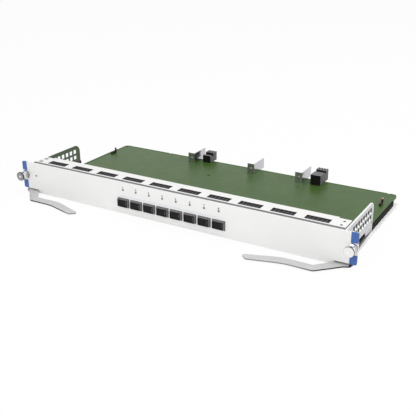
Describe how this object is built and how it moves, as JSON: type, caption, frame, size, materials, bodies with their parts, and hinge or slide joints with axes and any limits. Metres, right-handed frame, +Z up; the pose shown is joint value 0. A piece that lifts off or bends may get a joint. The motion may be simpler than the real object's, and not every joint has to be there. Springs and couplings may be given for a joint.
{
  "type": "switch line card",
  "caption": "Wide chassis line card: white face with a row of plugged optical ports, vented flange, perforated side walls, ejector levers and captive thumb screws.",
  "frame": {"origin": "centre of the tray's underside, on the card's middle plane", "axes": "+X along the face to its right-hand ear seen from the front, +Y back from the face towards the rear connectors, +Z up"},
  "size_m": [0.3942, 0.2184, 0.0348],
  "materials": {
    "white_paint": "satin powder coat",
    "blue_plastic": "smooth moulded",
    "dark_gasket": "conductive cloth over foam",
    "polished_steel": "bright rolled sheet",
    "green_board": "solder mask over fibreglass board",
    "black_plastic": "fine moulded grain",
    "lever_metal": "light grey, satin",
    "nickel": "nickel plated, turned",
    "cage_metal": "tin plated sheet",
    "clear_plastic": "clear moulded",
    "dark_steel": "black oxide",
    "clip_metal": "spring sheet"
  },
  "bodies": {
    "card": {"front_panel": "white_paint", "top_vent_flange": "white_paint", "bottom_tray": "white_paint", "flange_gasket": "dark_gasket", "circuit_board": "green_board", "light_pipe_bar": "clear_plastic", "status_light_pipe": "clear_plastic", "wall_screws": "dark_steel", "vent_screen": "black_plastic", "board_standoffs": "polished_steel", "board_screws": "polished_steel", "guide_screws": "nickel", "left_upper_ear_cap": "blue_plastic", "left_lower_ear_cap": "blue_plastic", "left_side_bracket": "polished_steel", "left_edge_rail": "black_plastic", "left_lever_pin": "polished_steel", "left_screw_ferrule": "nickel", "left_rear_connector": "black_plastic", "left_clip_base": "black_plastic", "left_clip_leaf": "clip_metal", "right_upper_ear_cap": "blue_plastic", "right_lower_ear_cap": "blue_plastic", "right_side_bracket": "polished_steel", "right_edge_rail": "black_plastic", "right_lever_pin": "polished_steel", "right_screw_ferrule": "nickel", "right_rear_connector": "black_plastic", "right_clip_base": "black_plastic", "right_clip_leaf": "clip_metal", "left_guide_bracket": "polished_steel", "middle_guide_bracket": "polished_steel", "right_guide_bracket": "polished_steel", "port_cage_1": "cage_metal", "port_plug_1": "black_plastic", "port_cage_2": "cage_metal", "port_plug_2": "black_plastic", "port_cage_3": "cage_metal", "port_plug_3": "black_plastic", "port_cage_4": "cage_metal", "port_plug_4": "black_plastic", "port_cage_5": "cage_metal", "port_plug_5": "black_plastic", "port_cage_6": "cage_metal", "port_plug_6": "black_plastic", "port_cage_7": "cage_metal", "port_plug_7": "black_plastic", "port_cage_8": "cage_metal", "port_plug_8": "black_plastic"},
    "left_lever": {"left_ejector_lever": "lever_metal"},
    "left_screw_carrier": {"left_screw_washer": "polished_steel"},
    "left_screw": {"left_thumb_screw": "nickel"},
    "right_lever": {"right_ejector_lever": "lever_metal"},
    "right_screw_carrier": {"right_screw_washer": "polished_steel"},
    "right_screw": {"right_thumb_screw": "nickel"}
  },
  "joints": [
    {"name": "left_lever_turn", "type": "hinge", "parent": "card", "child": "left_lever", "pos_m": [-0.181, -0.0755, 0.00185], "axis": [0, 0, -1], "range_deg": [0, 55]},
    {"name": "left_screw_draw", "type": "slide", "parent": "card", "child": "left_screw_carrier", "axis": [0, -1, 0], "range_m": [0, 0.005]},
    {"name": "left_screw_turn", "type": "hinge", "parent": "left_screw_carrier", "child": "left_screw", "pos_m": [-0.192, -0.0845, 0.02], "axis": [0, 1, 0], "continuous": true},
    {"name": "right_lever_turn", "type": "hinge", "parent": "card", "child": "right_lever", "pos_m": [0.181, -0.0755, 0.00185], "axis": [0, 0, 1], "range_deg": [0, 55]},
    {"name": "right_screw_draw", "type": "slide", "parent": "card", "child": "right_screw_carrier", "axis": [0, -1, 0], "range_m": [0, 0.005]},
    {"name": "right_screw_turn", "type": "hinge", "parent": "right_screw_carrier", "child": "right_screw", "pos_m": [0.192, -0.0845, 0.02], "axis": [0, 1, 0], "continuous": true}
  ]
}
